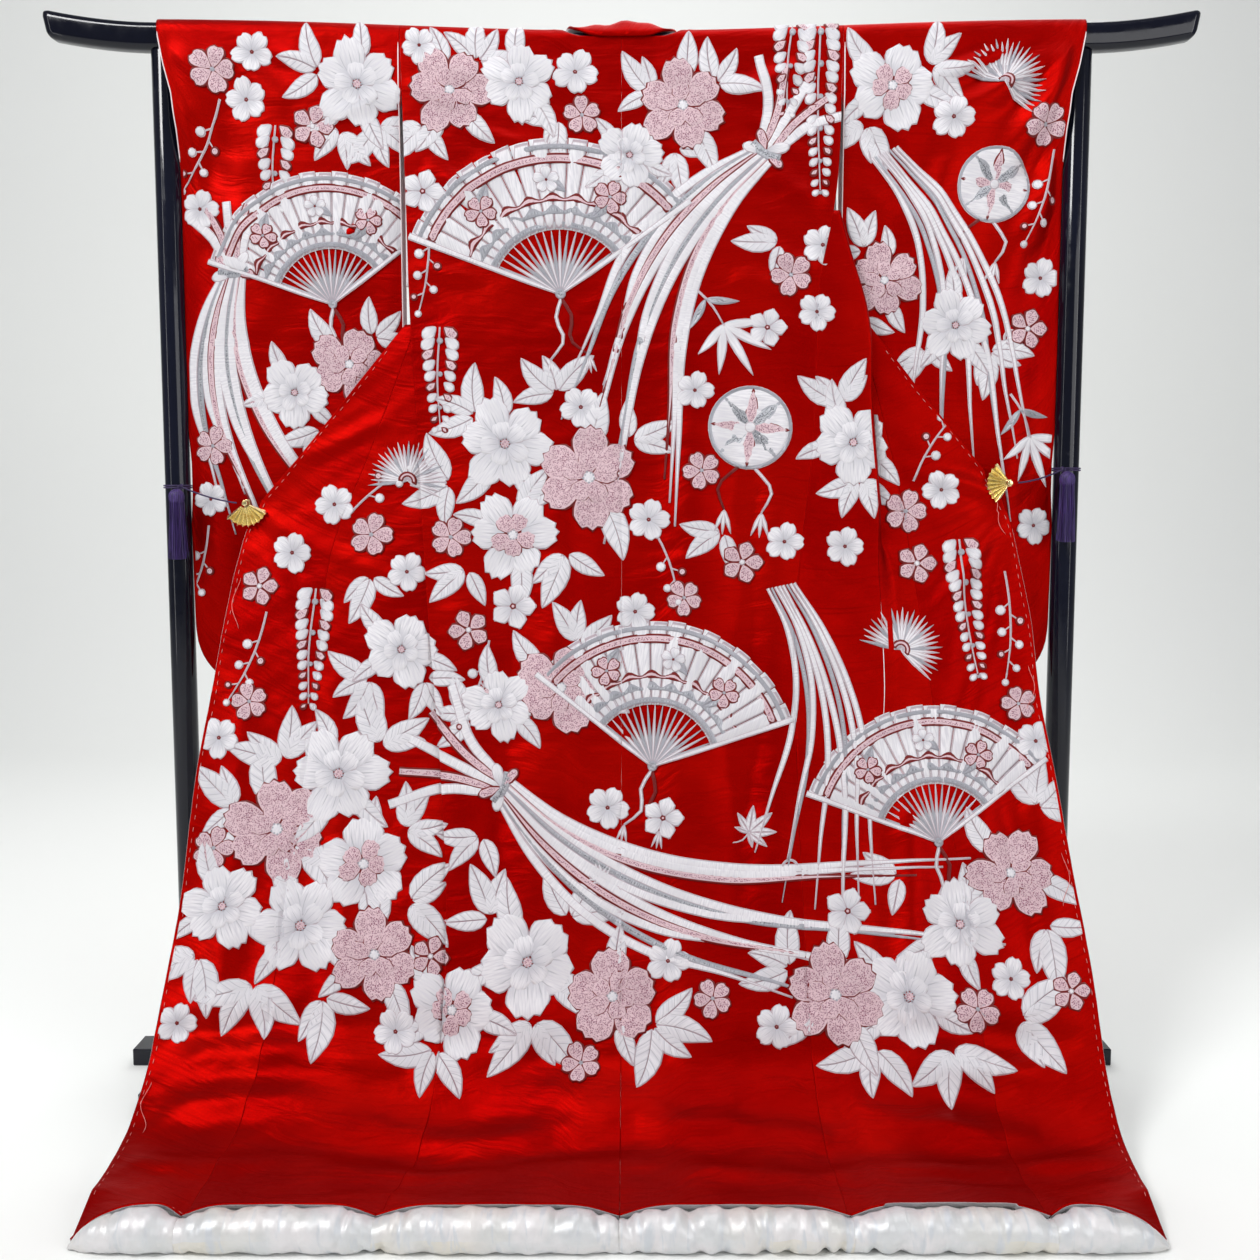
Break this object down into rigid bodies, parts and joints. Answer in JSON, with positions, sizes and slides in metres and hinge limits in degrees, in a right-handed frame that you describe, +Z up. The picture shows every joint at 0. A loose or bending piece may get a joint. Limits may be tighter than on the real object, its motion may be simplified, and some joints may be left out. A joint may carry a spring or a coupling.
{
  "type": "uchikake wedding kimono on a display stand",
  "caption": "Red silk uchikake wedding kimono with white embroidery and a padded white hem, opened out and shown from the back on a black lacquered stand.",
  "frame": {"origin": "centre of the footprint, on the floor under the stand's rail and feet and the padded hem", "axes": "+X along the top bar towards the garment's own right sleeve as seen from behind it, +Y from the displayed back towards the rear, +Z up"},
  "size_m": [1.7078, 0.8124, 1.6036],
  "materials": {
    "red_silk": "satin-weave silk with white, silver and pink embroidery",
    "white_satin": "padded satin with a cool pearly sheen",
    "black_lacquer": "gloss blue-black lacquer",
    "polished_gold": "polished gold colour",
    "purple_silk": "matt twisted silk cord and strands"
  },
  "bodies": {
    "root": {"back_panel_left": "red_silk", "back_panel_right": "red_silk", "base_rail": "black_lacquer", "collar": "red_silk", "fan_clip_left": "polished_gold", "fan_clip_right": "polished_gold", "foot_left": "black_lacquer", "foot_right": "black_lacquer", "front_panel_left": "red_silk", "front_panel_right": "red_silk", "front_shoulder_left": "red_silk", "front_shoulder_right": "red_silk", "hem_roll_back_left": "white_satin", "hem_roll_back_right": "white_satin", "hem_roll_front_left": "white_satin", "hem_roll_front_right": "white_satin", "hem_roll_overlap_left": "white_satin", "hem_roll_overlap_right": "white_satin", "overlap_panel_left": "red_silk", "overlap_panel_right": "red_silk", "post_left": "black_lacquer", "post_right": "black_lacquer", "sleeve_left": "red_silk", "sleeve_right": "red_silk", "tassel_left": "purple_silk", "tassel_right": "purple_silk", "tie_cord_left": "purple_silk", "tie_cord_right": "purple_silk", "tie_loop_left": "purple_silk", "tie_loop_right": "purple_silk", "top_bar": "black_lacquer"}
  },
  "joints": []
}
